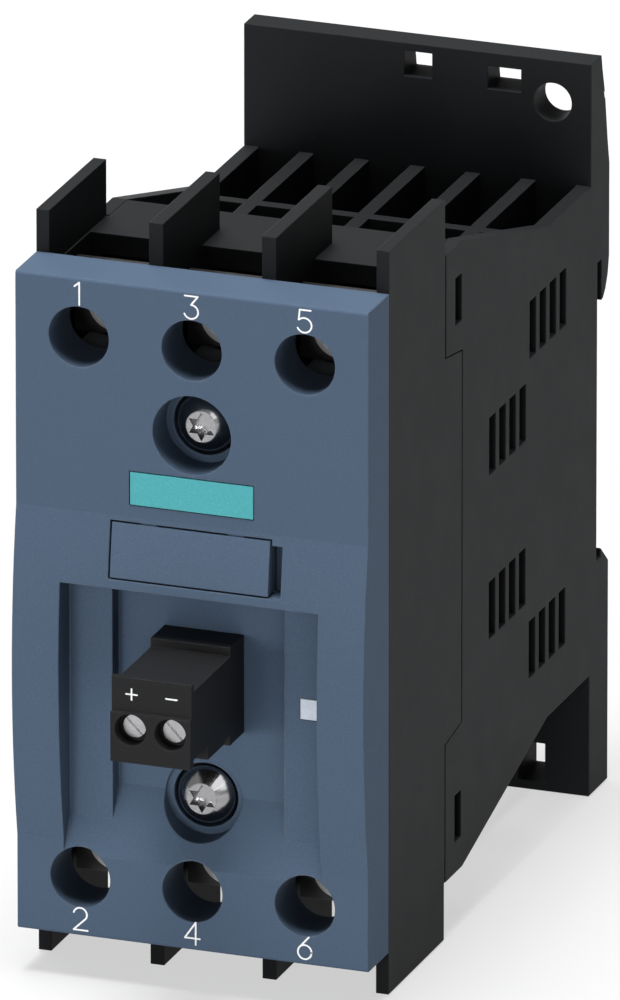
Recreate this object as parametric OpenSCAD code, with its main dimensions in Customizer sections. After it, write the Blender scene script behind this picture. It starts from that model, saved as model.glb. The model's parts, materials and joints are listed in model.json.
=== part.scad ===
// Three-phase solid-state relay for a 35 mm top-hat rail.
// Frame: X across the width, +Y to the rear, +Z up. The origin lies on the rail seat face,
// at mid-width and on the rail's centreline. Distances "behind the front" are measured
// backwards from the flat front plane of the cover.

/* [Overall] */
// Width across the side walls
body_w = 45; // [45:0.1:46]
// Height over the phase barriers and the rear plate
body_h = 95; // [94:0.5:97]
// Distance from the cover's flat front plane to the rail seat
seat_depth = 82.1; // [81.9:0.1:82.4]

/* [Front cover] */
// Height of the blue cover
cover_h = 84.2; // [84:0.1:85]
// Depth of the blue cover
cover_t = 7.3; // [7.2:0.05:7.5]
// Radius of the cover's long front edges
cover_edge_r = 0.4; // [0.2:0.1:0.6]
// How far the middle of the cover bulges forwards
bulge_rise = 1.7; // [1:0.1:2]
// Half the width of the recess
recess_half_w = 16.5; // [16:0.1:17]
// Depth of the recess's side steps
recess_step = 2.2; // [1.8:0.1:2.4]
// Depth of the recess's floor
recess_floor = 4.3; // [4.1:0.1:4.4]

/* [Power terminals] */
// Distance between neighbouring phases
phase_pitch = 14.4; // [14.2:0.1:14.6]
// Height of the conductor screws above mid-height
screw_z = 34.6; // [34:0.1:35]
// Radius of the screwdriver holes
driver_r = 3.83; // [3.6:0.01:3.9]
// Radius of a conductor screw's head
head_r = 3.45; // [3:0.05:3.5]
// Distance from the front to a conductor screw's head
head_y = 12; // [11.8:0.1:12.2]

/* [Mounting] */
// Height of the rail that the relay hangs on
rail_h = 35; // [35:0.1:35.3]
// Radius of the fixing holes
fixing_r = 2.45; // [2.2:0.05:2.6]
// Half the horizontal distance between the fixing holes
fixing_x = 17.5; // [17:0.1:17.7]
// Half the vertical distance between the fixing holes
fixing_z = 42.1; // [41.9:0.1:42.3]

/* [Hidden] */
$fn = 64;
eps = 0.05;
half_w = body_w / 2;
half_h = body_h / 2;
cover_z = cover_h / 2;

// Walls of the two casings
side_wall = 1.65;
rear_wall = 1.9;
ledge_z = 40.25;
ledge_t = 1.75;
ledge_y = 21;
ledge_end_y = 33.3;
front_wall_y = cover_t + 2;
barrier_t = 1.8;
barrier_y = 27;
bay_half = 6.3;
chamber_z = 26;
terminal_floor_z = 27.5;

// Joint between the casings, with a shadow gap
joint_outer_y = 27.3;
joint_inner_y = 33.2;
joint_gap = 0.17;
joint_top = [27.15, 26.25];
joint_low = [-22.35, -21.4];

// Rear casing
cheek_y = [33.5, 64.3];
grille_z = 31.7;
grille_pitch = (body_w - 1.85) / 6;
rib_t = 1.85;
plate_y = 79.6;
plate_back_y = 86.4;
vent_w = 2.36;
vent_pitch = 3.63;
vent_h = 7.35;
snap_z = [30.2, 36.2];

// Clamping screws through the cover
well_z = 23.8;
well_r = 5;
well_floor = 4.9;
well_bore_r = 4.1;
pan_y = 2.9;
boss_y = 5.5;
sink_y = 34.3;
sink_base_t = 5.5;
boss_r = 3.2;

// Phase terminals, front to rear
thread_r = 1.95;
head_room_r = 5;
clamp_y = head_y + 2.5;
clamp_t = 1.2;
bar_y = 20.4;
bar_t = 1.2;
bar_top = 37.3;
collar_r = 2.7;

// Control plug
pole_x = 2.54;
plug_half_w = 5.1;
pole_z = -9.05;
pin_z = -6.2;
board_y = 12.5;
board_t = 1.6;
pipe_x = 14.35;
pipe_z = -10.15;

cover_blue = [0.27, 0.35, 0.43];
casing_black = [0.13, 0.135, 0.14];
steel = [0.78, 0.79, 0.80];
copper = [0.80, 0.52, 0.36];
tinned = [0.72, 0.72, 0.70];

// ---------- Placing helpers ----------

// Moves a shape drawn behind the front plane into the part's own frame.
module from_front() {
    translate([0, -seat_depth, 0]) children();
}

// The range that reaches the same distance either side of a middle.
function span(middle, reach) = [middle - reach, middle + reach];

// A box between two corners, given as ranges.
module block(x, y, z) {
    translate([x[0], y[0], z[0]]) cube([x[1] - x[0], y[1] - y[0], z[1] - z[0]]);
}

// A round bar along Y.
module rod_y(r, y, x = 0, z = 0) {
    translate([x, y[0], z]) rotate([-90, 0, 0]) cylinder(r = r, h = y[1] - y[0]);
}

// An outline in Y and Z, drawn out along X between two places.
module slab_x(x, outline) {
    translate([x[0], 0, 0]) rotate([90, 0, 90]) linear_extrude(height = x[1] - x[0]) polygon(outline);
}

module left_and_right() {
    children();
    mirror([1, 0, 0]) children();
}

module top_and_bottom() {
    children();
    mirror([0, 0, 1]) children();
}

// Terminals 1 to 3 lie along the top, 4 to 6 along the bottom, from left to right.
function phase(i) = (i - 1) % 3 - 1;
function phase_x(i) = phase(i) * phase_pitch;

// Draws a shape in the frame of terminal i, where +Z points out of the casing.
module at_terminal(i) {
    translate([phase_x(i), 0, 0]) mirror([0, 0, i <= 3 ? 0 : 1]) children();
}

module each_terminal() {
    for (i = [1:6]) at_terminal(i) children();
}

// ---------- Front cover and what sits in it ----------

bulge_z = [-29.85, 12.45];
bulge_mid = (bulge_z[0] + bulge_z[1]) / 2;
bulge_half = (bulge_z[1] - bulge_z[0]) / 2;
bulge_r = (bulge_half * bulge_half + bulge_rise * bulge_rise) / (2 * bulge_rise);
recess_top = 3.45;
ramp_z = [-31.55, -23.35];
label_x = [-10.15, 10.05];
label_z = [4.85, 11.65];
label_gap = 0.22;
badge_x = 7.85;
badge_z = [14.1, 18.25];
plug_hole = [[-4.9, 4.9], [-13.8, -3.5]];

// Solid inside the front surface of the bulge, stretching from side to side.
module bulge_solid(half_x, y) {
    intersection() {
        translate([-half_x, bulge_r - bulge_rise, bulge_mid])
            rotate([0, 90, 0]) cylinder(r = bulge_r, h = 2 * half_x, $fn = 180);
        block([-half_x, half_x], y, bulge_z);
    }
}

// Slab with round long edges at the top front and bottom front.
module cover_slab() {
    block([-half_w, half_w], [cover_edge_r, cover_t], [-cover_z, cover_z]);
    block([-half_w, half_w], [0, cover_t], [cover_edge_r - cover_z, cover_z - cover_edge_r]);
    top_and_bottom() translate([-half_w, cover_edge_r, cover_z - cover_edge_r])
        rotate([0, 90, 0]) cylinder(r = cover_edge_r, h = body_w);
}

// Pocket with a sloping lower end, open to the front.
module recess_cut(half_x, depth) {
    slope = (ramp_z[1] - ramp_z[0]) / recess_floor;
    slab_x([-half_x, half_x], [
        [-4, recess_top],
        [depth, recess_top],
        [depth, ramp_z[0] + slope * depth],
        [-4, ramp_z[0] - slope * 4]
    ]);
}

// Front wall and rim, hollow from behind.
module cover_shell() {
    wall = 1.6;
    difference() {
        cover_slab();
        block([wall - half_w, half_w - wall], [2, cover_t + 1], [wall - cover_z, cover_z - wall]);
    }
}

// Tubes and backings that stand in the hollow around every opening.
module cover_backing() {
    each_terminal() rod_y(driver_r + 1.2, [1, cover_t], 0, screw_z);
    top_and_bottom() rod_y(well_r + 1.3, [1, cover_t], 0, well_z);
    block([-18, 18], [1, 5.9], [-33, 5.5]);
    block([-12, 13.5], [1, 3.4], [5, 13.6]);
    block([-9.5, 9.5], [1, 2.6], [13, 19.6]);
}

module front_cover() {
    color(cover_blue) from_front() difference() {
        union() {
            cover_shell();
            cover_backing();
            bulge_solid(half_w, [-bulge_rise - 1, 1.3]);
        }
        recess_cut(recess_half_w, recess_step);
        recess_cut(11, recess_floor);
        each_terminal() rod_y(driver_r, [-1, cover_t + 1], 0, screw_z);
        top_and_bottom() rod_y(well_r, [-3, well_floor], 0, well_z);
        top_and_bottom() rod_y(well_bore_r, [-3, cover_t + 1], 0, well_z);
        block([label_x[0] - label_gap, label_x[1] + label_gap], [-3, 1.5],
              [label_z[0] - label_gap, label_z[1] + label_gap]);
        block([label_x[1], label_x[1] + 1.6], [-3, 2.2], [label_z[0] - 0.1, label_z[1] - 0.55]);
        block([-badge_x - 0.15, badge_x + 0.1], [-1, 0.85], [badge_z[0] - 0.1, badge_z[1] + 0.1]);
        block(plug_hole[0], [0, cover_t], plug_hole[1]);
        block(span(pipe_x, 1.35), [0, cover_t], span(pipe_z, 1.35));
    }
}

// Identification plate, curved like the bulge, with four snap tabs.
module label_plate() {
    tab_x = [-6.6, 4.5];
    color(cover_blue * 1.05) from_front() {
        intersection() {
            bulge_solid(half_w, [-bulge_rise - 1, 1.3]);
            block(label_x, [-3, 1.3], label_z);
        }
        for (x = tab_x, z = [label_z[0] - 0.17, label_z[1] - 0.1])
            block([x, x + 2.1], [0.1, 1.1], [z, z + 0.27]);
    }
}

module badge() {
    color([0.28, 0.66, 0.67]) from_front()
        block([-badge_x, badge_x], [-0.08, 0.85], badge_z);
}

// Square light guide from the board's lamp to the recess's right step.
module light_pipe() {
    color([0.88, 0.90, 0.91]) from_front() {
        block(span(pipe_x, 1.3), [recess_step - 0.05, 11.3], span(pipe_z, 1.3));
        block(span(pipe_x, 1.9), [6, 7.2], span(pipe_z, 1.9));
    }
}

// ---------- Casings ----------

terminal_outline = [
    [cover_t, ledge_z],
    [joint_outer_y - joint_gap, ledge_z],
    [joint_outer_y - joint_gap, joint_top[0]],
    [joint_inner_y - joint_gap, joint_top[1]],
    [joint_inner_y - joint_gap, joint_low[1]],
    [joint_outer_y - joint_gap, joint_low[0]],
    [joint_outer_y - joint_gap, -ledge_z],
    [cover_t, -ledge_z]
];

// Four plates between and outside the phases, above and below the casing.
module phase_barriers() {
    left_and_right() {
        block([half_w - side_wall, half_w], [cover_t, barrier_y], [-half_h, half_h]);
        block([bay_half, bay_half + barrier_t], [cover_t, barrier_y], [-half_h, half_h]);
    }
}

// Room for one terminal, open at the end of the casing, with its busbar pocket.
module terminal_cavity() {
    block([-bay_half, bay_half], [front_wall_y, ledge_y], [terminal_floor_z, half_h + 1]);
    block([-4.85, 4.85], [ledge_y - eps, bar_y + bar_t], [terminal_floor_z, bar_top + 0.2]);
    rod_y(head_room_r, [cover_t - 1, front_wall_y + 1], 0, screw_z);
    rod_y(collar_r + 0.2, [ledge_y, 24], 0, screw_z);
}

// Tongues that snap into the windows of the rear casing.
module snap_tongues() {
    x = half_w - rear_wall;
    left_and_right() top_and_bottom() {
        block([x - 1.3, half_w - 0.9], [24, joint_outer_y - joint_gap], snap_z + [0.4, -0.4]);
        block([x - 1.3, x - 0.12], [24, 33.6], snap_z + [0.4, -0.4]);
        block([x - 0.5, x + 1.1], [31.1, 32.7], snap_z + [0.6, -0.6]);
    }
}

module terminal_housing() {
    inner_x = half_w - side_wall;
    color(casing_black) from_front() difference() {
        union() {
            difference() {
                union() {
                    slab_x([-half_w, half_w], terminal_outline);
                    phase_barriers();
                }
                block([-inner_x, inner_x], [front_wall_y, 40], [-chamber_z, chamber_z]);
                block([-inner_x, inner_x], [22.7, 40], [1.6 - ledge_z, ledge_z - 1.6]);
                each_terminal() terminal_cavity();
                for (i = [1:6]) at_terminal(i)
                    block(neck_range(i, 0.15), [bar_y - 0.15, bar_y + bar_t + 0.1], [25, neck_top + 0.15]);
            }
            top_and_bottom() {
                rod_y(boss_r, [cover_t, sink_y], 0, well_z);
                rod_y(3.9, [boss_y, cover_t + 1], 0, well_z);
            }
            left_and_right() top_and_bottom() rod_y(1.8, [front_wall_y - 1, board_y], 17, 16.5);
            top_and_bottom() block(span(0, half_w - rear_wall - 0.1), [joint_outer_y - 1, ledge_end_y],
                                   [ledge_z - ledge_t, ledge_z]);
            snap_tongues();
        }
        top_and_bottom() rod_y(2.15, [boss_y - 1, sink_y + 1], 0, well_z);
        block([-6.35, 6.35], [cover_t - 1, front_wall_y + 1], [-15.4, -1.9]);
        block(span(pipe_x, 1.4), [cover_t - 1, front_wall_y + 1], span(pipe_z, 1.4));
    }
}

// Profile of the rear plate with its two rail hooks, upper end first.
hook_t = 1.5;
slot_top = 21.1;
rail_low = -rail_h / 2 - 0.05;
plate_outline = [
    [plate_y, half_h],
    [83.4, half_h],
    [plate_back_y, 32.7],
    [plate_back_y, 20.7],
    [plate_back_y - 0.5, 18.4],
    [plate_back_y - 1.3, 16.8],
    [plate_back_y - 2.2, 15.9],
    [seat_depth + hook_t, 15.8],
    [seat_depth + hook_t, slot_top],
    [seat_depth, slot_top],
    [seat_depth, rail_low],
    [seat_depth + hook_t, rail_low],
    [seat_depth + hook_t + 0.1, rail_low + 1.1],
    [plate_back_y, rail_low - 1.3],
    [plate_back_y, -half_h],
    [plate_y, -half_h]
];

cheek_outline = concat(
    [
        [joint_outer_y + joint_gap, ledge_z],
        [cheek_y[0], ledge_z],
        [cheek_y[1], grille_z],
        [plate_y + 1, grille_z],
        [plate_y + 1, -grille_z],
        [cheek_y[1], -grille_z],
        [cheek_y[0], -ledge_z],
        [joint_outer_y + joint_gap, -ledge_z]
    ],
    [
        [joint_outer_y + joint_gap, joint_low[0] - 0.1],
        [joint_inner_y + joint_gap, joint_low[1] - 0.1],
        [joint_inner_y + joint_gap, joint_top[1] + 0.1],
        [joint_outer_y + joint_gap, joint_top[0] + 0.1]
    ]
);

// Wall, ribs and cross bar that close the top or the bottom of the rear casing.
module grille() {
    inner_x = half_w - rear_wall + eps;
    block([-inner_x, inner_x], [31.6, ledge_end_y], [28.6, ledge_z - ledge_t - 0.1]);
    block([-inner_x, inner_x], [59.7, 61.3], [27.6, grille_z]);
    for (i = [-2:2]) slab_x(span(i * grille_pitch, rib_t / 2), [
        [33.2, 28.6],
        [33.2, grille_z],
        [plate_y + 0.5, grille_z],
        [plate_y + 0.5, 25.7],
        [40.4, 25.7],
        [40.4, 28.6]
    ]);
}

// Four upright slots in both side walls.
module vent_group(y, z) {
    for (i = [0:3])
        block([-half_w - 1, half_w + 1], [y, y + vent_w] + i * vent_pitch * [1, 1], [z, z + vent_h]);
}

// Windows in the side walls for the catches, and room for the tongues that carry them.
module snap_windows() {
    x = half_w - rear_wall;
    left_and_right() top_and_bottom() {
        block([x - 1.5, half_w + 1], [30.7, 33], snap_z);
        block([x - 1.5, x], [30.7, 34], snap_z);
    }
}

// Shallow pockets that keep the thick ends of the rear plate even in wall.
module plate_coring() {
    left_and_right() {
        block([2, 14], [83, 88], [23.5, 31.5]);
        block([2, 14], [82.2, 88], [-37.5, -22.5]);
    }
}

module heatsink_housing() {
    inner_x = half_w - rear_wall;
    color(casing_black * 0.95) from_front() difference() {
        union() {
            left_and_right() slab_x([inner_x, half_w], cheek_outline);
            slab_x([-half_w, half_w], plate_outline);
            top_and_bottom() grille();
            left_and_right() block([inner_x - 1.7, inner_x + eps], [sink_y + sink_base_t + 0.15, 41.6], [-20, 20]);
        }
        vent_group(57.4, 17);
        vent_group(57.4, -17 - vent_h);
        vent_group(42.9, 6.9);
        vent_group(42.9, -6.9 - vent_h);
        snap_windows();
        rod_y(fixing_r, [plate_y - 1, 90], fixing_x, fixing_z);
        rod_y(5, [84, 90], fixing_x, fixing_z);
        rod_y(fixing_r, [plate_y - 1, 90], -fixing_x, -fixing_z);
        block([-1.7, 1.9], [plate_y - 1, 90], [43.25, 46.45]);
        block([9.1, 13.4], [plate_y - 1, 90], [42.85, 45.75]);
        block([13.3, 16.75], [plate_y - 1, 90], [-46.35, -41.35]);
        plate_coring();
    }
}

// ---------- Clamping screws and heatsink ----------

// Six-pointed socket for a star driver.
module star_socket(r, depth) {
    for (turn = [0, 60]) rotate([0, 0, turn]) cylinder(r = r, h = depth, $fn = 3);
}

// Pan-head screw along +Z: its dome would end at zero, but a flat is cut across the crown.
module pan_screw(length) {
    dome_r = 4.4;
    flat_at = 0.47;
    socket_r = 1.85;
    socket_end = 3;
    difference() {
        union() {
            intersection() {
                translate([0, 0, dome_r]) sphere(r = dome_r);
                translate([0, 0, flat_at]) cylinder(r = 3.75, h = boss_y - pan_y - flat_at);
            }
            translate([0, 0, 1]) cylinder(r = 2, h = length - 1);
        }
        rotate([0, 0, 30]) translate([0, 0, -1]) star_socket(socket_r, socket_end + 1);
    }
}

module clamping_screws() {
    color(steel) from_front() for (z = [well_z, -well_z])
        translate([0, pan_y, z]) rotate([-90, 0, 0]) pan_screw(35.5);
}

// Finned extrusion with a thick base that takes the clamping screws.
module heatsink() {
    fin_t = 1.4;
    fin_pitch = 3.6;
    fin_end = 78.4;
    color(casing_black) from_front() difference() {
        union() {
            block([-20.3, 20.3], [sink_y, sink_y + sink_base_t], [-28, 28]);
            for (i = [-4:4])
                block(span(i * fin_pitch, fin_t / 2), [sink_y + 1, fin_end], [-25.2, 25.2]);
        }
        top_and_bottom() rod_y(2.05, [sink_y - 1, sink_y + sink_base_t - 0.6], 0, well_z);
    }
}

// ---------- Power path ----------

// Conductor screw: pan head with a cross recess, and a plain shank for the thread.
module terminal_screw(i) {
    head_h = clamp_y - head_y;
    color(steel) from_front() at_terminal(i) translate([0, head_y, screw_z]) rotate([-90, 0, 0])
        difference() {
            union() {
                translate([0, 0, 0.4]) cylinder(r = head_r, h = head_h - 0.4);
                intersection() {
                    cylinder(r = head_r, h = 0.5);
                    translate([0, 0, 7.6]) sphere(r = 8);
                    translate([0, 0, 0.02]) cylinder(r = head_r, h = 1);
                }
                cylinder(r = thread_r, h = 12.4);
            }
            rotate([0, 0, 37 * i]) for (turn = [0, 90]) rotate([0, 0, turn])
                translate([-2.2, -0.5, -1]) cube([4.4, 1, 2.5]);
        }
}

// Saddle clamp that the screw presses on the conductor, with a guide on each side.
module terminal_clamp(i) {
    color(tinned) from_front() at_terminal(i) difference() {
        union() {
            block([-5.9, 5.9], [clamp_y, clamp_y + clamp_t], span(screw_z, 4.6));
            left_and_right() block([4.95, 5.9], [clamp_y, clamp_y + 2.1], span(screw_z, 3.8));
        }
        rod_y(thread_r + 0.08, [clamp_y - 1, clamp_y + 3], 0, screw_z);
    }
}

// The necks of the middle bars pass beside the bosses of the clamping screws.
neck_half = 1.8;
neck_top = 29.7;
function neck_shift(i) = phase(i) == 0 ? boss_r + neck_half + 0.25 : 0;
function neck_range(i, gap = 0) = span(neck_shift(i), neck_half + gap);

module busbar(i) {
    leg_z = 19.2;
    color(copper) from_front() at_terminal(i) difference() {
        union() {
            block([-4.7, 4.7], [bar_y, bar_y + bar_t], [28.2, bar_top]);
            block([0, neck_range(i)[1]], [bar_y, bar_y + bar_t], [28.2, neck_top]);
            block(neck_range(i), [bar_y, bar_y + bar_t], [leg_z, 28.4]);
            block(neck_range(i), [bar_y, joint_inner_y], [leg_z, leg_z + bar_t]);
            block(neck_range(i), [joint_inner_y - 1.1, joint_inner_y], [14.6, leg_z + bar_t]);
            rod_y(collar_r, [bar_y + bar_t - eps, 23.2], 0, screw_z);
        }
        rod_y(thread_r + 0.05, [bar_y - 1, 24], 0, screw_z);
    }
}

module power_substrate() {
    color([0.93, 0.92, 0.88]) from_front()
        block([-17.4, 17.4], [joint_inner_y, sink_y], [-19.2, 19.2]);
}

module thyristors() {
    color([0.45, 0.46, 0.50]) from_front() top_and_bottom()
        for (x = [-12, 0, 12]) block(span(x, 4), [joint_inner_y - 0.4, joint_inner_y], [2, 9]);
}

module gate_pins() {
    color(tinned) from_front() top_and_bottom()
        for (x = [-12, 0, 12]) rod_y(0.35, [board_y + board_t, joint_inner_y], x + 5.3, 8);
}

// ---------- Control electronics ----------

module control_board() {
    color([0.10, 0.35, 0.22]) from_front()
        block([-19.4, 19.4], [board_y, board_y + board_t], [-18.9, 18.9]);
}

module status_led() {
    color([0.85, 0.9, 0.6]) from_front()
        block(span(pipe_x, 0.8), [board_y - 0.9, board_y], span(pipe_z, 0.6));
}

module optocouplers() {
    color([0.12, 0.12, 0.13]) from_front()
        for (x = [-12, 0, 12])
            block(span(x, 3.2), [board_y + board_t, board_y + board_t + 3.5], [-4.3, 4.3]);
}

module varistors() {
    disc_y = board_y + board_t + 5;
    color([0.15, 0.32, 0.60]) from_front() for (x = [-12, 0, 12]) {
        translate([x, disc_y, 12.4]) cylinder(r = 4.5, h = 3.4);
        for (leg = [-2.5, 2.5]) rod_y(0.35, [board_y + board_t, disc_y], x + leg, 14.1);
    }
}

module capacitors() {
    color([0.18, 0.20, 0.28]) from_front()
        for (x = [-6, 2]) rod_y(3, [board_y + board_t, board_y + board_t + 7], x, -14.5);
}

module pin_header() {
    color([0.10, 0.10, 0.11]) from_front() difference() {
        block([-6.1, 6.1], [6, board_y], [-15.2, -2.1]);
        block([-4.85, 4.85], [5, 10.7], [-13.75, -3.55]);
        for (x = [-pole_x, pole_x]) rod_y(0.5, [10, board_y + 1], x, pin_z);
    }
}

module header_pins() {
    color(tinned) from_front()
        for (x = [-pole_x, pole_x]) rod_y(0.5, [6.6, board_y + board_t + 1.2], x, pin_z);
}

// ---------- Plug-in control terminal ----------

plug_front = -14.5;
plug_seat = recess_floor - 0.05;
plug_rear = 10.3;
slot_screw_y = plug_front + 1.6;
screw_seat_y = -12.35;
cage_y = -9.9;
cage_len = 5.2;
cell_y = [-11.75, -4.5];
contact_y = -9;

plug_outline = [
    [plug_front, -6.95],
    [-14, -6.95],
    [-14, -2.55],
    [-13.2, -2.55],
    [-13.2, -3.55],
    [-0.6, -3.55],
    [-0.6, -2.4],
    [plug_seat, -2.4],
    [plug_seat, -14.9],
    [-0.7, -14.9],
    [-0.7, -13.6],
    [-2.4, -13.6],
    [-2.4, -14.05],
    [-8.3, -14.05],
    [-8.3, -12.35],
    [-13.2, -12.35],
    [-13.2, -13.25],
    [plug_front, -13.25]
];

// Draws a shape once at the left pole, or once at the right pole.
module at_pole(i) {
    translate([i == 1 ? -pole_x : pole_x, 0, 0]) children();
}

module plug_housing() {
    color(casing_black * 1.2) from_front() difference() {
        union() {
            slab_x([-plug_half_w, plug_half_w], plug_outline);
            block([-4.7, 4.7], [plug_seat - 1, plug_rear], [-13.6, -3.7]);
        }
        for (i = [1, 2]) at_pole(i) {
            rod_y(2, [plug_front - 1, screw_seat_y], 0, pole_z);
            rod_y(1.35, [-13, -11], 0, pole_z);
            block([-2.1, 2.1], cell_y, [-11, -7.1]);
            block([-1.5, 1.5], [-8.2, -5.4], [-15, -10]);
            block([-1.25, 1.25], [-9.2, 10.15], [-7.4, -4.95]);
            rod_y(0.8, [9, plug_rear + 1], 0, pin_z);
        }
    }
}

// Slotted screw that turns in the plug and lifts its cage.
module plug_screw(i) {
    color(steel) from_front() at_pole(i) difference() {
        union() {
            rod_y(1.45, [slot_screw_y, screw_seat_y], 0, pole_z);
            rod_y(1.25, [screw_seat_y - eps, -9.15], 0, pole_z);
        }
        translate([0, slot_screw_y, pole_z]) rotate([0, 43 + 2 * i, 0]) cube([4, 0.6, 0.32], center = true);
    }
}

// Rising cage: a ring around the contact bar, with a threaded front wall.
module plug_cage(i) {
    color(tinned) from_front() at_pole(i) difference() {
        block([-1.95, 1.95], [cage_y, cage_y + cage_len], [-10.85, -7.25]);
        block([-1.35, 1.35], [cage_y + 0.8, cage_y + cage_len - 0.8], [-12, -6]);
        rod_y(1.3, [cage_y - 1, cage_y + 2], 0, pole_z);
    }
}

// Contact bar that the wire is pressed against, and the socket for the header's pin.
module plug_contact(i) {
    color(copper * 0.95) from_front() at_pole(i) difference() {
        union() {
            block([-1.1, 1.1], [contact_y, contact_y + 0.8], [-10.8, -5.8]);
            block([-1.1, 1.1], [contact_y, 4.7], [-6.6, -5.8]);
            block([-1.1, 1.1], [4.6, 10.05], [pin_z - 1.1, pin_z + 1.1]);
        }
        rod_y(0.58, [5.6, 12], 0, pin_z);
    }
}

// ---------- Rail spring ----------

// Leaf that hangs from its left end and presses on the rail's upper edge.
module rail_spring() {
    leaf_t = 0.35;
    tip_z = 18.1;
    root_z = slot_top - 0.55;
    lean = atan((root_z - tip_z) / 26);
    color([0.6, 0.6, 0.62]) translate([-14, 0.25, root_z]) {
        rotate([0, lean, 0]) translate([0, 0, -leaf_t / 2]) cube([27, 1, leaf_t]);
        rotate([-90, 0, 0]) cylinder(r = 0.45, h = 1);
    }
}

// ---------- Assembly ----------

front_cover();
label_plate();
badge();
light_pipe();
terminal_housing();
heatsink_housing();
clamping_screws();
plug_housing();
pin_header();
header_pins();
control_board();
status_led();
optocouplers();
varistors();
capacitors();
gate_pins();
power_substrate();
thyristors();
heatsink();
rail_spring();
for (i = [1:6]) {
    terminal_screw(i);
    terminal_clamp(i);
    busbar(i);
}
for (i = [1:2]) {
    plug_screw(i);
    plug_cage(i);
    plug_contact(i);
}
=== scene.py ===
"""Looks for the three-phase solid-state relay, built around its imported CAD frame."""
import json
import math

import bmesh
import bpy
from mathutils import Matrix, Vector


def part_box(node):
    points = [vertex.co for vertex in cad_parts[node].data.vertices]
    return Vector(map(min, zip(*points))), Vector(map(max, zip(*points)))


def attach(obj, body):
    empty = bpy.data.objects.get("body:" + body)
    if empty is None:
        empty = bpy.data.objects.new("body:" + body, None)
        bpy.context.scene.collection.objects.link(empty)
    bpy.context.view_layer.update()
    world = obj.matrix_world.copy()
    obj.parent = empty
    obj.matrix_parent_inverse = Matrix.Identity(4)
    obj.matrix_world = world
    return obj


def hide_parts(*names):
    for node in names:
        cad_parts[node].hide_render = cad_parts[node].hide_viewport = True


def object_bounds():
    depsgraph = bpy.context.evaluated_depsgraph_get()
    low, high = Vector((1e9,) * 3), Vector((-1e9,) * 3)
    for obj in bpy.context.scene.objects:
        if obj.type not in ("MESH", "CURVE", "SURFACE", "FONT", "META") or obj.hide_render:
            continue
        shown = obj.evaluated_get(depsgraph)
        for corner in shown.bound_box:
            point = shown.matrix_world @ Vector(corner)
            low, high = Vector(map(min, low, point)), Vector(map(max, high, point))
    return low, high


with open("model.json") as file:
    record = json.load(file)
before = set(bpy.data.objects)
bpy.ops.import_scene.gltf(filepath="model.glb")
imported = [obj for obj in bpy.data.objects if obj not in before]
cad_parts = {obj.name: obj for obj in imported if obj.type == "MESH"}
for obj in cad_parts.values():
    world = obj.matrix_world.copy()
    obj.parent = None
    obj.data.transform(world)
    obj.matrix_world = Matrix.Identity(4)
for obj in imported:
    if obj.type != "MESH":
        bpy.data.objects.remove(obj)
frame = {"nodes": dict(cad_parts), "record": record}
cad_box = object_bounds()

# The camera, floor and lights are in metres. Other lengths are in mm, and MM turns them into metres.
MM = 0.001
NODES = frame["nodes"]
RECORD = frame["record"]
SLOTS = {row["node"]: row["material_slot"] for row in RECORD["subparts"]}

SCENE = bpy.context.scene
SCENE.view_settings.view_transform = "Standard"


# ---------- Places and pieces ----------

def middle(node):
    """The middle of a CAD node's box."""
    low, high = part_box(node)
    return (low + high) / 2


def new_piece(name, mesh, material, place):
    """Turns a finished bmesh into an object of the scene, with one material."""
    data = bpy.data.meshes.new(name)
    mesh.to_mesh(data)
    mesh.free()
    data.materials.append(material)
    piece = bpy.data.objects.new(name, data)
    piece.location = place
    SCENE.collection.objects.link(piece)
    return piece


TERMINAL_SCREWS = [f"terminal_screw_{i}" for i in range(1, 7)]

# How far the badge stands proud of the cover's flat front.
BADGE_PROUD = 0.08
COVER_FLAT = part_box("badge")[0].y + BADGE_PROUD * MM


# ---------- Camera, floor and lights ----------

VIEW_AZIMUTH = math.radians(20)
VIEW_ELEVATION = math.radians(20)
VIEW_HEIGHT = 0.1212
LENS = 1050
SENSOR = 36
AIM = Vector((-0.00025, -0.0400, 0.0012))
FLOOR_SIZE = 6.0
FLOOR_GLOW = (0.58, 1.0)
GLOW_REACH = 2.5
LIGHT_TARGET = Vector((0, -0.04, 0))


def add_camera():
    """A very long lens, so that parallel edges stay nearly parallel."""
    back = Vector((
        math.sin(VIEW_AZIMUTH) * math.cos(VIEW_ELEVATION),
        -math.cos(VIEW_AZIMUTH) * math.cos(VIEW_ELEVATION),
        math.sin(VIEW_ELEVATION),
    ))
    data = bpy.data.cameras.new("camera")
    data.lens = LENS
    data.sensor_fit = "VERTICAL"
    data.sensor_height = SENSOR
    data.sensor_width = SENSOR
    data.clip_start = 0.5
    data.clip_end = 50
    camera = bpy.data.objects.new("camera", data)
    distance = VIEW_HEIGHT * LENS / SENSOR
    camera.location = AIM + back * distance
    camera.rotation_euler = back.to_track_quat("Z", "Y").to_euler()
    SCENE.collection.objects.link(camera)
    SCENE.camera = camera


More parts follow.
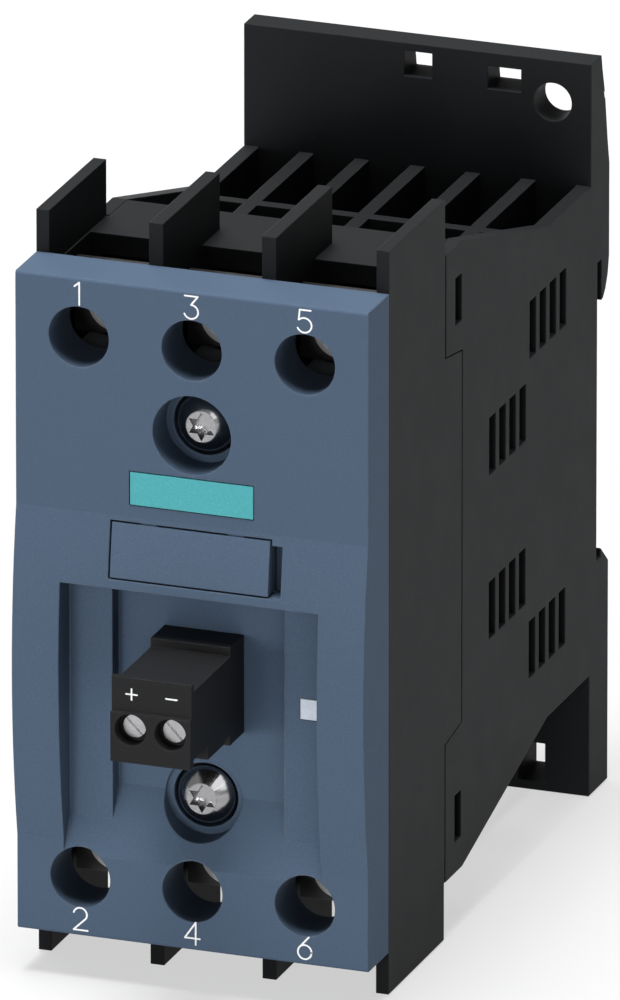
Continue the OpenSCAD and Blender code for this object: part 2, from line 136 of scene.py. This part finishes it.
def floor_material():
    """Pale from above, where it glows more towards its far edge, and clear from below."""
    material = bpy.data.materials.new("floor")
    material.use_nodes = True
    tree = material.node_tree
    shader = tree.nodes["Principled BSDF"]
    shader.inputs["Base Color"].default_value = (0.26, 0.26, 0.26, 1)
    shader.inputs["Roughness"].default_value = 0.9
    shader.inputs["Specular IOR Level"].default_value = 0.0
    shader.inputs["Emission Color"].default_value = (1, 1, 1, 1)
    distance = tree.nodes.new("ShaderNodeVectorMath")
    distance.operation = "LENGTH"
    glow = tree.nodes.new("ShaderNodeMapRange")
    glow.inputs["From Max"].default_value = GLOW_REACH
    glow.inputs["To Min"].default_value, glow.inputs["To Max"].default_value = FLOOR_GLOW
    place = tree.nodes.new("ShaderNodeTexCoord")
    underside = tree.nodes.new("ShaderNodeNewGeometry")
    clear = tree.nodes.new("ShaderNodeBsdfTransparent")
    sides = tree.nodes.new("ShaderNodeMixShader")
    for source, target in (
        (place.outputs["Object"], distance.inputs[0]),
        (distance.outputs["Value"], glow.inputs["Value"]),
        (glow.outputs["Result"], shader.inputs["Emission Strength"]),
        (underside.outputs["Backfacing"], sides.inputs["Fac"]),
        (shader.outputs["BSDF"], sides.inputs[1]),
        (clear.outputs["BSDF"], sides.inputs[2]),
        (sides.outputs["Shader"], tree.nodes["Material Output"].inputs["Surface"]),
    ):
        tree.links.new(source, target)
    return material


def add_floor():
    """A plain pale floor, a hair under the relay's feet."""
    grid = bmesh.new()
    bmesh.ops.create_grid(grid, x_segments=1, y_segments=1, size=FLOOR_SIZE)
    floor = new_piece("floor", grid, floor_material(), (0, 0, cad_box[0][2] - 0.2 * MM))


def add_light(name, place, size, share, only_gloss=False):
    """A soft light, size wide and high. share is how bright it makes a white surface that faces it."""
    place = Vector(place)
    away = place - LIGHT_TARGET
    data = bpy.data.lights.new(name, "AREA")
    data.shape = "RECTANGLE"
    data.size, data.size_y = size
    data.energy = share * math.pi ** 2 * away.length_squared
    light = bpy.data.objects.new(name, data)
    light.location = place
    light.rotation_euler = away.to_track_quat("Z", "Y").to_euler()
    light.visible_camera = False
    light.visible_diffuse = not only_gloss
    SCENE.collection.objects.link(light)


def add_lights():
    add_light("light_top", (-0.1, -0.22, 2.4), (1.0, 1.0), 1.6)
    add_light("light_front", (-0.6, -2.4, 0.09), (0.7, 0.24), 0.28)
    add_light("light_card", (0.30, -2.35, 0.30), (0.35, 0.35), 0.16)
    add_light("light_back", (-1.9, 1.7, 0.9), (1.2, 1.2), 0.30)
    add_light("light_sheen", (1.35, -1.6, 1.45), (2.2, 2.2), 0.42, only_gloss=True)


def add_world():
    """White to the camera, grey in reflections, and almost dark as a light."""
    world = bpy.data.worlds.new("world")
    world.use_nodes = True
    tree = world.node_tree
    ray = tree.nodes.new("ShaderNodeLightPath")

    def plain(strength):
        node = tree.nodes.new("ShaderNodeBackground")
        node.inputs["Color"].default_value = (1, 1, 1, 1)
        node.inputs["Strength"].default_value = strength
        return node.outputs["Background"]

    def choose(test, no, yes):
        node = tree.nodes.new("ShaderNodeMixShader")
        tree.links.new(test, node.inputs["Fac"])
        tree.links.new(no, node.inputs[1])
        tree.links.new(yes, node.inputs[2])
        return node.outputs["Shader"]

    unseen = choose(ray.outputs["Is Glossy Ray"], plain(0.07), plain(0.40))
    seen = choose(ray.outputs["Is Camera Ray"], unseen, plain(1.0))
    tree.links.new(seen, tree.nodes["World Output"].inputs["Surface"])
    SCENE.world = world


# ---------- Material kit ----------

class Kit:
    """A material's node tree with short calls for the nodes used below."""

    def __init__(self, name):
        self.material = bpy.data.materials.new(name)
        self.material.use_nodes = True
        self.tree = self.material.node_tree
        self.shader = self.tree.nodes["Principled BSDF"]
        self.place = self.add("ShaderNodeTexCoord").outputs["Object"]

    def add(self, kind, **settings):
        node = self.tree.nodes.new(kind)
        for key, value in settings.items():
            setattr(node, key, value)
        return node

    def wire(self, source, target):
        self.tree.links.new(source, target)

    def noise(self, size_mm, detail=3.0, rough=0.55):
        """Noise whose bumps are about size_mm across, from 0 to 1."""
        node = self.add("ShaderNodeTexNoise")
        node.inputs["Scale"].default_value = 1 / (size_mm * MM)
        node.inputs["Detail"].default_value = detail
        node.inputs["Roughness"].default_value = rough
        self.wire(self.place, node.inputs["Vector"])
        return node.outputs["Fac"]

    def squeezed(self, stretch_by):
        """Object coordinates stretched along each axis, for brushed or drawn surfaces."""
        node = self.add("ShaderNodeMapping")
        node.inputs["Scale"].default_value = stretch_by
        self.wire(self.place, node.inputs["Vector"])
        return node.outputs["Vector"]

    def remap(self, value, old, new):
        """The value, carried from the range old to the range new and held inside it."""
        node = self.add("ShaderNodeMapRange")
        node.inputs["From Min"].default_value, node.inputs["From Max"].default_value = old
        node.inputs["To Min"].default_value, node.inputs["To Max"].default_value = new
        self.wire(value, node.inputs["Value"])
        return node.outputs["Result"]

    def math(self, operation, a, b):
        node = self.add("ShaderNodeMath", operation=operation)
        for socket, value in zip(node.inputs, (a, b)):
            if isinstance(value, (int, float)):
                socket.default_value = value
            else:
                self.wire(value, socket)
        return node.outputs["Value"]

    def mix(self, factor, a, b):
        """A colour between a and b, where each is a colour or a socket."""
        node = self.add("ShaderNodeMix", data_type="RGBA")
        if isinstance(factor, (int, float)):
            node.inputs["Factor"].default_value = factor
        else:
            self.wire(factor, node.inputs["Factor"])
        for socket, value in ((node.inputs[6], a), (node.inputs[7], b)):
            if isinstance(value, tuple):
                socket.default_value = (*value, 1)
            else:
                self.wire(value, socket)
        return node.outputs[2]

    def rounded(self, radius_mm):
        """The normal, turned near edges as if they were rounded."""
        bevel = self.add("ShaderNodeBevel", samples=4)
        bevel.inputs["Radius"].default_value = radius_mm * MM
        return bevel.outputs["Normal"]

    def edges(self, rounded, low=0.02, high=0.25):
        """1 where the rounded normal is turned, 0 on flat faces."""
        flat = self.add("ShaderNodeNewGeometry").outputs["Normal"]
        dot = self.add("ShaderNodeVectorMath", operation="DOT_PRODUCT")
        self.wire(rounded, dot.inputs[0])
        self.wire(flat, dot.inputs[1])
        turned = self.math("SUBTRACT", 1.0, dot.outputs["Value"])
        return self.remap(turned, (low, high), (0, 1))

    def shadowed(self, color, darkest=0.3, walls=(0.2, 0.55), tops=(0.2, 0.55)):
        """The colour, darker deep inside bays, slots and housings, where little light reaches.

        walls and tops are for upright and for upward faces: how open a place is where the darkening is full,
        and where it ends.
        """
        open_sky = self.add("ShaderNodeAmbientOcclusion", samples=5)
        open_sky.inputs["Distance"].default_value = 30 * MM
        facing = self.add("ShaderNodeSeparateXYZ")
        self.wire(self.add("ShaderNodeNewGeometry").outputs["Normal"], facing.inputs["Vector"])
        upward = self.remap(facing.outputs["Z"], (0.5, 0.9), (0, 1))
        from_wall = self.remap(open_sky.outputs["AO"], walls, (0, 1))
        from_top = self.remap(open_sky.outputs["AO"], tops, (0, 1))
        rise = self.math("MULTIPLY", upward, self.math("SUBTRACT", from_top, from_wall))
        depth = self.math("ADD", from_wall, rise)
        dark = self.mix(1.0 - darkest, color, (0, 0, 0))
        return self.mix(depth, dark, color)

    def bump(self, height, strength, distance_mm, under=None):
        """The normal of a surface whose relief is distance_mm deep. under is the normal to start from."""
        node = self.add("ShaderNodeBump")
        node.inputs["Strength"].default_value = strength
        node.inputs["Distance"].default_value = distance_mm * MM
        self.wire(height, node.inputs["Height"])
        if under is not None:
            self.wire(under, node.inputs["Normal"])
        return node.outputs["Normal"]

    def finish(self, color, roughness, normal=None, **fixed):
        """Wires the shader. fixed holds plain numbers for its other sockets."""
        for value, socket in ((color, "Base Color"), (roughness, "Roughness"), (normal, "Normal")):
            if value is None:
                continue
            if isinstance(value, (int, float)):
                self.shader.inputs[socket].default_value = value
            elif isinstance(value, tuple):
                self.shader.inputs[socket].default_value = (*value, 1)
            else:
                self.wire(value, self.shader.inputs[socket])
        for socket, value in fixed.items():
            self.shader.inputs[socket.replace("_", " ")].default_value = value
        return self.material


def shade(color, factor):
    """The colour made lighter or darker by a factor."""
    return tuple(min(1.0, c * factor) for c in color)


# ---------- Materials ----------

def moulded_plastic(name, color, rough=0.5, specular=0.3, grain=0.35, edge_tint_strength=0.25, depths=1.0, edge_mm=0.2,
                    **openness):
    """Thermoplastic from a spark-eroded mould: fine grain, faint flow clouds, and edges a little lighter, as
    rubbed wear and, strongest on the cover, as a painted highlight.

    depths is how much of its tone is left deep inside, where it is darkened as painted shade, and openness
    is what shadowed() calls walls and tops.
    """
    kit = Kit(name)
    clouds = kit.noise(11, 2)
    grain_fine = kit.noise(0.16, 2, 0.6)
    grain_coarse = kit.noise(0.55, 2, 0.5)
    rounded = kit.rounded(edge_mm)
    tone = kit.mix(clouds, shade(color, 0.98), shade(color, 1.02))
    speckle = kit.remap(grain_fine, (0.3, 0.7), (0, 1))
    tone = kit.mix(speckle, shade(color, 0.93), tone)
    tone = kit.mix(kit.remap(grain_fine, (0.5, 0.75), (0, 0.5)), tone, shade(color, 1.3))
    # Lighter edges: rubbed wear, and with a high edge_tint_strength (the cover) a painted highlight along
    # the edges.
    wear_and_highlight = kit.remap(kit.noise(2.2, 3), (0.42, 0.62), (0.4 * edge_tint_strength, edge_tint_strength))
    tinted_edges = kit.math("MULTIPLY", kit.edges(rounded), wear_and_highlight)
    tone = kit.mix(tinted_edges, tone, tuple(0.75 * c + 0.12 for c in color))
    # Painted shade: the tone is darkened deep inside bays, slots and recesses, where little light reaches.
    if depths < 1.0:
        tone = kit.shadowed(tone, depths, **openness)
    uneven = kit.remap(kit.noise(4, 4), (0.3, 0.7), (rough - 0.02, rough + 0.02))
    shiny = kit.math("SUBTRACT", uneven, kit.math("MULTIPLY", tinted_edges, 0.12))
    height = kit.math("ADD", grain_fine, kit.math("MULTIPLY", grain_coarse, 0.6))
    normal = kit.bump(height, grain, 0.03, rounded)
    return kit.finish(tone, shiny, normal, Specular_IOR_Level=specular)


def plated_metal(name, color, rough=0.22, streak=(1, 1, 1), edge_tint_strength=0.0):
    """Zinc or tin plate with fine turning marks and faint dulled patches."""
    kit = Kit(name)
    streaks = kit.add("ShaderNodeTexNoise")
    streaks.inputs["Scale"].default_value = 1 / (0.35 * MM)
    streaks.inputs["Detail"].default_value = 4
    kit.wire(kit.squeezed(streak), streaks.inputs["Vector"])
    patches = kit.noise(1.8, 3)
    tone = kit.mix(kit.remap(patches, (0.35, 0.65), (0, 1)), shade(color, 0.94), shade(color, 1.04))
    if edge_tint_strength:
        tinted_edges = kit.math("MULTIPLY", kit.edges(kit.rounded(0.15)), edge_tint_strength)
        tone = kit.mix(tinted_edges, tone, shade(color, 0.7))
    rough_map = kit.remap(patches, (0.3, 0.7), (rough - 0.03, rough + 0.05))
    normal = kit.bump(streaks.outputs["Fac"], 0.03, 0.01)
    return kit.finish(tone, rough_map, normal, Metallic=1.0)


def zinc_paled_as_light():
    """Matt zinc plate, as on the conductor screws, its grey made paler than zinc's as painted light, so that
    the heads read lit deep in the cover's holes.
    """
    kit = Kit("zinc_paled_as_light")
    clouds = kit.noise(0.9, 3)
    # Painted light: these tones are paler than real zinc, to light the heads deep in the holes.
    tone = kit.mix(clouds, (0.72, 0.71, 0.72), (0.84, 0.83, 0.83))
    rough = kit.remap(clouds, (0.3, 0.7), (0.48, 0.58))
    normal = kit.bump(kit.noise(0.2, 2), 0.08, 0.02)
    return kit.finish(tone, rough, normal, Metallic=0.25, Specular_IOR_Level=0.3)


def turned_steel():
    """Bright zinc on a turned head, with fine marks that run out from the screw's axis."""
    kit = Kit("turned_steel")
    across = kit.add("ShaderNodeVectorMath", operation="MULTIPLY")
    across.inputs[1].default_value = (1, 0, 1)
    kit.wire(kit.place, across.inputs[0])
    outward = kit.add("ShaderNodeVectorMath", operation="NORMALIZE")
    kit.wire(across.outputs["Vector"], outward.inputs[0])
    rays = kit.add("ShaderNodeTexNoise")
    rays.inputs["Scale"].default_value = 4.5
    rays.inputs["Detail"].default_value = 2.5
    kit.wire(outward.outputs["Vector"], rays.inputs["Vector"])
    bright = kit.remap(rays.outputs["Fac"], (0.35, 0.65), (0, 1))
    tone = kit.mix(bright, (0.31, 0.31, 0.32), (0.36, 0.36, 0.37))
    rough = kit.remap(kit.noise(1.1, 3), (0.3, 0.7), (0.17, 0.21))
    return kit.finish(tone, rough, kit.bump(rays.outputs["Fac"], 0.12, 0.3), Metallic=1.0)


def bare_copper():
    """Rolled copper strip, its tone a near-black brown as painted shade deep in the bays, with warmer and
    duller clouds.
    """
    kit = Kit("bar_copper")
    clouds = kit.noise(3.5, 4)
    # Painted shade: the tone is a near-black brown, as the bars sit deep in dark bays, and shadowed()
    # darkens it further deep inside.
    tone = kit.mix(kit.remap(clouds, (0.35, 0.65), (0, 1)), (0.09, 0.045, 0.03), (0.06, 0.03, 0.021))
    tone = kit.shadowed(tone, 0.15)
    lines = kit.add("ShaderNodeTexNoise")
    lines.inputs["Scale"].default_value = 1 / (0.4 * MM)
    kit.wire(kit.squeezed((1.0, 1.0, 0.06)), lines.inputs["Vector"])
    rough = kit.remap(clouds, (0.3, 0.7), (0.25, 0.42))
    return kit.finish(tone, rough, kit.bump(lines.outputs["Fac"], 0.15, 0.02), Metallic=1.0)


def aluminium_black_as_shade():
    """Aluminium extrusion, black as painted shade behind the vents, with its drawing lines up the fins."""
    kit = Kit("sink_aluminium")
    lines = kit.add("ShaderNodeTexNoise")
    lines.inputs["Scale"].default_value = 1 / (0.5 * MM)
    lines.inputs["Detail"].default_value = 3
    kit.wire(kit.squeezed((1.0, 1.0, 0.03)), lines.inputs["Vector"])
    # Painted shade: the near-black tone stands in for the dark behind the vents, and shadowed() darkens it
    # further deep inside.
    tone = kit.shadowed(kit.mix(lines.outputs["Fac"], (0.014, 0.014, 0.015), (0.024, 0.024, 0.026)))
    rough = kit.remap(kit.noise(5, 3), (0.3, 0.7), (0.36, 0.48))
    return kit.finish(tone, rough, kit.bump(lines.outputs["Fac"], 0.25, 0.03), Specular_IOR_Level=0.08)


def light_guide():
    """Milky polycarbonate that lets a little light soak in."""
    kit = Kit("light_pipe")
    haze = kit.noise(0.9, 3)
    tone = kit.mix(haze, (0.53, 0.59, 0.67), (0.62, 0.68, 0.76))
    rough = kit.remap(haze, (0.3, 0.7), (0.22, 0.32))
    normal = kit.bump(kit.noise(0.3, 2), 0.08, 0.02)
    return kit.finish(tone, rough, normal, Subsurface_Weight=0.25, Subsurface_Radius=(0.001, 0.001, 0.001))


def circuit_board():
    """Green solder mask over faint copper tracks."""
    kit = Kit("board_green")
    tracks = kit.add("ShaderNodeTexBrick")
    tracks.inputs["Scale"].default_value = 1 / (6 * MM)
    tracks.inputs["Color1"].default_value = (0.02, 0.15, 0.07, 1)
    tracks.inputs["Color2"].default_value = (0.02, 0.13, 0.06, 1)
    tracks.inputs["Mortar"].default_value = (0.05, 0.24, 0.11, 1)
    tracks.inputs["Mortar Size"].default_value = 0.03
    kit.wire(kit.place, tracks.inputs["Vector"])
    weave = kit.noise(0.5, 2)
    tone = kit.mix(kit.remap(weave, (0.3, 0.7), (0, 0.3)), tracks.outputs["Color"], (0.03, 0.19, 0.09))
    return kit.finish(tone, kit.remap(weave, (0.3, 0.7), (0.3, 0.4)), kit.bump(weave, 0.1, 0.02))


def plain_part(name, color, rough, size_mm=1.2, spread=0.12, metallic=0.0):
    """Moulded or coated electronic parts: one colour with soft clouds and a little unevenness."""
    kit = Kit(name)
    clouds = kit.noise(size_mm, 4)
    tone = kit.mix(clouds, shade(color, 1 - spread), shade(color, 1 + spread))
    rough_map = kit.remap(clouds, (0.3, 0.7), (rough - 0.05, rough + 0.07))
    return kit.finish(tone, rough_map, kit.bump(kit.noise(0.25, 2), 0.12, 0.02), Metallic=metallic)


def printed_white():
    """White marking ink: slightly uneven coverage."""
    kit = Kit("marking_white")
    cover = kit.noise(0.3, 3)
    tone = kit.mix(kit.remap(cover, (0.3, 0.7), (0, 1)), (0.80, 0.82, 0.84), (0.92, 0.93, 0.94))
    return kit.finish(tone, kit.remap(cover, (0.3, 0.7), (0.45, 0.6)), kit.bump(cover, 0.05, 0.01))


COVER_BLUE = (0.078, 0.115, 0.173)
CASING_BLACK = (0.0168, 0.0183, 0.0197)
PLUG_BLACK = (0.0155, 0.0158, 0.0168)
BADGE_TEAL = (0.077, 0.390, 0.422)

MATERIALS = {
    # The cover's strong edge tint is mostly a painted highlight along its edges, and its depths paint shade
    # into its recesses and holes.
    "cover_blue": moulded_plastic("cover_blue", COVER_BLUE, rough=0.52, specular=0.02, grain=0.22,
                                  edge_tint_strength=0.95, depths=0.6, edge_mm=0.32),
    "label_blue": moulded_plastic("label_blue", shade(COVER_BLUE, 1.05), rough=0.50, specular=0.03,
                                  grain=0.18, edge_tint_strength=0.22),
    "badge_teal": moulded_plastic("badge_teal", BADGE_TEAL, rough=0.42, specular=0.12, grain=0.08, edge_tint_strength=0.1),
    "light_pipe": light_guide(),
    # The casing's depths paint shade deep inside its bays, vents and slots.
    "casing_black": moulded_plastic("casing_black", CASING_BLACK, rough=0.50, specular=0.035, grain=0.32,
                                    edge_tint_strength=0.35, depths=0.3, walls=(0.25, 0.68), tops=(0.1, 0.4)),
    "plug_black": moulded_plastic("plug_black", PLUG_BLACK, rough=0.46, specular=0.08, grain=0.22, edge_tint_strength=0.3),
    "zinc_steel": plated_metal("zinc_steel", (0.37, 0.365, 0.375), 0.24),
    # Painted shade: the clamps' steel is near-black because they sit deep inside the terminal bays.
    "clamp_steel": plated_metal("clamp_steel", (0.10, 0.10, 0.105), 0.38, (1, 0.2, 1), 0.4),
    "spring_steel": plated_metal("spring_steel", (0.50, 0.50, 0.53), 0.30, (0.1, 1, 1), 0.3),
    "pin_tin": plated_metal("pin_tin", (0.72, 0.72, 0.69), 0.28, (1, 0.1, 1)),
    "bar_copper": bare_copper(),
    "sink_aluminium": aluminium_black_as_shade(),
    "board_green": circuit_board(),
    "ceramic_white": plain_part("ceramic_white", (0.82, 0.81, 0.77), 0.4, 3, 0.04),
    "chip_grey": plain_part("chip_grey", (0.20, 0.21, 0.25), 0.2, 4, 0.1, 0.4),
    "part_black": plain_part("part_black", (0.022, 0.022, 0.024), 0.45),
    "varistor_blue": plain_part("varistor_blue", (0.03, 0.12, 0.40), 0.28),
    "capacitor_can": plain_part("capacitor_can", (0.05, 0.06, 0.13), 0.32),
    "led_lens": plain_part("led_lens", (0.74, 0.80, 0.46), 0.15),
}
MARKING = printed_white()
CONDUCTOR_SCREW = zinc_paled_as_light()
TURNED_STEEL = turned_steel()


# ---------- CAD nodes: material and softened edges ----------

SHARP_ANGLE = 28


def soften(piece, width_mm):
    """Rounds a CAD node's sharp edges by modifiers alone, so that its own mesh stays as packed."""
    weld = piece.modifiers.new("weld", "WELD")
    weld.merge_threshold = 2e-6
    bevel = piece.modifiers.new("bevel", "BEVEL")
    bevel.width = width_mm * MM
    bevel.segments = 2
    bevel.limit_method = "ANGLE"
    bevel.angle_limit = math.radians(SHARP_ANGLE)
    bevel.use_clamp_overlap = False
    shading = piece.modifiers.new("flat_faces_stay_flat", "WEIGHTED_NORMAL")
    shading.mode = "FACE_AREA"
    shading.keep_sharp = True


SMALL_EDGE = 0.07

# How far each node's edges are rounded, in mm. None leaves them sharp.
SOFT_EDGES = {
    "front_cover": 0.08,
    "label_plate": 0.08,
    "badge": 0.06,
    "light_pipe": 0.06,
    "terminal_housing": 0.06,
    "heatsink_housing": 0.08,
    "plug_housing": 0.06,
    "plug_screw_1": None,
    "plug_screw_2": None,
    "heatsink": 0.08,
    "rail_spring": 0.05,
    "pin_header": 0.08,
    "control_board": 0.05,
    "optocouplers": 0.2,
    "varistors": 0.6,
    "capacitors": 0.4,
}


def dress_cad_nodes():
    for name, piece in NODES.items():
        piece.data.materials.clear()
        screw = name in TERMINAL_SCREWS
        piece.data.materials.append(CONDUCTOR_SCREW if screw else MATERIALS[SLOTS[name]])
        for polygon in piece.data.polygons:
            polygon.material_index = 0
        small = name.startswith(("terminal_", "busbar_", "plug_"))
        width = SOFT_EDGES.get(name, SMALL_EDGE if small else None)
        if width:
            soften(piece, width)


# ---------- Clamping screws ----------

DOME_R = 4.4
FLAT_AT = 0.47
HEAD_R = 3.75
HEAD_END = 2.6
HEAD_CHAMFER = 0.12
DOME_STEPS = 12
SOCKET_R = 1.85
SOCKET_DEPTH = 1.2
THREAD_R = 1.95
THREAD_DEPTH = 0.3
THREAD_PITCH = 0.7
TIP_R = 1.1
TIP_LENGTH = 0.9
SPOKES_PER_CORNER = 6


def star(radius):
    """Points on a six-pointed star with a point straight up."""
    corners = []
    for k in range(13):
        turn = math.radians(30 * k)
        reach = radius if k % 2 else radius / math.sqrt(3)
        corners.append(Vector((reach * math.cos(turn), reach * math.sin(turn))))
    steps = [s / SPOKES_PER_CORNER for s in range(SPOKES_PER_CORNER)]
    return [a.lerp(b, s) for a, b in zip(corners, corners[1:]) for s in steps]


def circle(radius):
    """Points on a circle, as many as star() gives."""
    count = 12 * SPOKES_PER_CORNER
    turns = [2 * math.pi * k / count for k in range(count)]
    return [Vector((radius * math.cos(t), radius * math.sin(t))) for t in turns]


def thread_rim(depth):
    """The helical thread's outline at one depth."""
    rim = circle(1.0)
    for k, point in enumerate(rim):
        phase = (depth / THREAD_PITCH - k / len(rim)) % 1.0
        point *= THREAD_R - THREAD_DEPTH * abs(2 * phase - 1)
    return rim


def screw_rims(length):
    """Outlines with their depths behind the crown, from the socket's floor over the dome to the tip."""
    rims = [
        (star(SOCKET_R - 0.12), FLAT_AT + SOCKET_DEPTH),
        (star(SOCKET_R - 0.04), FLAT_AT + 0.06),
        (star(SOCKET_R), FLAT_AT),
        (circle(SOCKET_R + 0.03), FLAT_AT),
        (circle(SOCKET_R + 0.05), FLAT_AT + 0.025),
        (circle(SOCKET_R + 0.08), FLAT_AT + 0.025),
        (circle(SOCKET_R + 0.10), FLAT_AT),
    ]
    start = math.acos(1 - FLAT_AT / DOME_R)
    end = math.asin((HEAD_R - 0.05) / DOME_R)
    for k in range(DOME_STEPS + 1):
        turn = start + (end - start) * k / DOME_STEPS
        rims.append((circle(DOME_R * math.sin(turn)), DOME_R * (1 - math.cos(turn))))
    rims += [
        (circle(HEAD_R), rims[-1][1] + 0.08),
        (circle(HEAD_R), HEAD_END - HEAD_CHAMFER),
        (circle(HEAD_R - HEAD_CHAMFER), HEAD_END),
        (circle(THREAD_R + 0.2), HEAD_END),
        (circle(THREAD_R), HEAD_END + 0.2),
    ]
    depth = HEAD_END + 2.0
    while depth < length - 1.2:
        rims.append((thread_rim(depth), depth))
        depth += THREAD_PITCH / 6
    rims.append((circle(THREAD_R - THREAD_DEPTH), length - TIP_LENGTH))
    rims.append((circle(TIP_R), length))
    return rims


def clamping_screw(name, crown, length):
    """One pan-head screw with its axis along Y. crown is where its dome would end without the flat."""
    mesh = bmesh.new()
    rims = screw_rims(length)
    rows = [[mesh.verts.new(Vector((p.x, depth, p.y)) * MM) for p in rim] for rim, depth in rims]
    for row, after in zip(rows, rows[1:]):
        for k in range(len(row)):
            mesh.faces.new((row[k], after[k], after[k - 1], row[k - 1]))
    floor = mesh.verts.new((0, rims[0][1] * MM, 0))
    tip = mesh.verts.new((0, length * MM, 0))
    for k in range(len(rows[0])):
        mesh.faces.new((floor, rows[0][k], rows[0][k - 1]))
        mesh.faces.new((tip, rows[-1][k - 1], rows[-1][k]))
    bmesh.ops.recalc_face_normals(mesh, faces=mesh.faces)
    screw = new_piece(name, mesh, TURNED_STEEL, crown)
    for polygon in screw.data.polygons:
        polygon.use_smooth = True
    screw.data.set_sharp_from_angle(angle=math.radians(SHARP_ANGLE))
    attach(screw, "casing")
    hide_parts("clamping_screws")


def add_clamping_screws():
    low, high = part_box("clamping_screws")
    crown_y = low.y - FLAT_AT * MM
    length = (high.y - crown_y) / MM
    for name, z in (("upper", high.z - HEAD_R * MM), ("lower", low.z + HEAD_R * MM)):
        clamping_screw(f"clamping_screw_{name}", (0, crown_y, z), length)


# ---------- Strokes ----------

def arc(cx, cy, rx, ry, start, end, steps=14):
    """Points on an ellipse, from one angle to another in degrees."""
    turns = [math.radians(start + (end - start) * k / steps) for k in range(steps + 1)]
    return [(cx + rx * math.cos(t), cy + ry * math.sin(t)) for t in turns]


def ribbon(mesh, points, width, lift):
    """A flat stroke with round ends along points in X and Z, which lies at -lift in Y."""
    half = width / 2
    here = [Vector(point) for point in points]
    ways = [(b - a).normalized() for a, b in zip(here, here[1:])]

    def corner(point):
        return mesh.verts.new((point.x, -lift, point.y))

    rims = []
    for into, point, out in zip(ways[:1] + ways, here, ways + ways[-1:]):
        along = (into + out).normalized()
        side = Vector((-along.y, along.x)) * half / along.dot(into)
        rims.append((corner(point + side), corner(point - side)))
    for (left, right), (next_left, next_right) in zip(rims, rims[1:]):
        mesh.faces.new((left, right, next_right, next_left))
    back_end = (here[0], -ways[0], rims[0])
    front_end = (here[-1], ways[-1], rims[-1][::-1])
    for centre, way, (first, last) in (back_end, front_end):
        turn = math.atan2(way.y, way.x)
        turns = [turn + math.radians(angle) for angle in range(-60, 61, 30)]
        cap = [corner(centre + half * Vector((math.cos(t), math.sin(t)))) for t in turns]
        mesh.faces.new([first, *cap, last])


# ---------- Joint between the casings ----------

LIP_X = 20.35
LIP_WIDTH = 2.4
LIP_THICKNESS = 0.3
HALF_GAP = 0.17

# The joint's course from top to bottom: how far behind its outer ends, and how high.
JOINT = ((0.0, 38.4), (0.0, 27.15), (5.9, 26.25), (5.9, -21.4), (0.0, -22.35), (0.0, -38.4))


def add_joint_lips():
    """The lip behind each side of the joint, which keeps light and dust from passing through it."""
    joint_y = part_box("heatsink_housing")[0].y - HALF_GAP * MM
    for name, x in (("left", -LIP_X), ("right", LIP_X)):
        mesh = bmesh.new()
        ribbon(mesh, [(y * MM, z * MM) for y, z in JOINT], LIP_WIDTH * MM, 0)
        lip = new_piece(f"joint_lip_{name}", mesh, MATERIALS["casing_black"], (x * MM, joint_y, 0))
        lip.rotation_euler.z = math.radians(90)
        thick = lip.modifiers.new("thickness", "SOLIDIFY")
        thick.thickness = LIP_THICKNESS * MM
        thick.offset = 0
        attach(lip, "casing")


# ---------- Markings ----------

INK_LIFT = 0.02
INK_LAYER = 0.004
NUMBER_ABOVE = 5.5
NUMBER_BELOW = 5.3
POLARITY_ABOVE = 4.4
PLUG_LABEL_BACK = 0.5

# Plain single-line numerals in a box 2 wide and 3 high. Strokes that meet at a sharp corner are separate.
NUMERALS = {
    "1": [[(0.45, 2.45), (1.1, 3.0)], [(1.1, 3.0), (1.1, 0.0)]],
    "2": [arc(1.0, 2.1, 0.9, 0.9, 165, -35) + [(0.1, 0.0)], [(0.1, 0.0), (2.0, 0.0)]],
    "3": [[(0.1, 3.0), (1.85, 3.0)], [(1.85, 3.0), (0.95, 1.85)], arc(0.95, 0.92, 0.95, 0.93, 90, -160)],
    "4": [[(1.45, 0.0), (1.45, 3.0)], [(1.45, 3.0), (0.0, 0.85)], [(0.0, 0.85), (2.0, 0.85)]],
    "5": [[(1.8, 3.0), (0.35, 3.0), (0.2, 1.65)], [(0.2, 1.65)] + arc(0.95, 0.98, 0.98, 0.98, 125, -155)],
    "6": [[(1.55, 3.0), (0.25, 1.5)], arc(1.0, 0.95, 0.92, 0.95, 0, 360, 28)],
    "+": [[(0.2, 1.5), (1.8, 1.5)], [(1.0, 0.7), (1.0, 2.3)]],
    "-": [[(0.2, 1.5), (1.8, 1.5)]],
}


def marking(name, sign, place, height_mm, stroke_mm, body):
    """One numeral or sign, centred on place, as ink that lies a hair above the surface."""
    scale = height_mm / 3.0 * MM
    mesh = bmesh.new()
    for layer, stroke in enumerate(NUMERALS[sign]):
        points = [((x - 1.0) * scale, (z - 1.5) * scale) for x, z in stroke]
        ribbon(mesh, points, stroke_mm * MM, (INK_LIFT + INK_LAYER * layer) * MM)
    piece = new_piece(name, mesh, MARKING, place)
    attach(piece, body)


def add_markings():
    """Numerals over the top terminals and under the bottom ones, polarity signs on the plug."""
    for screw, sign in zip(TERMINAL_SCREWS, ("1", "3", "5", "2", "4", "6")):
        x, _, z = middle(screw)
        z += NUMBER_ABOVE * MM if z > 0 else -NUMBER_BELOW * MM
        marking(f"number_{sign}", sign, (x, COVER_FLAT, z), 2.86, 0.22, "casing")
    label_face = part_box("plug_housing")[0].y + PLUG_LABEL_BACK * MM
    for index, sign in ((1, "+"), (2, "-")):
        x, _, z = middle(f"plug_screw_{index}")
        marking(f"polarity_{index}", sign, (x, label_face, z + POLARITY_ABOVE * MM), 2.6, 0.21, "plug")


# ---------- Build ----------

add_camera()
add_floor()
add_lights()
add_world()
dress_cad_nodes()
add_clamping_screws()
add_joint_lips()
add_markings()
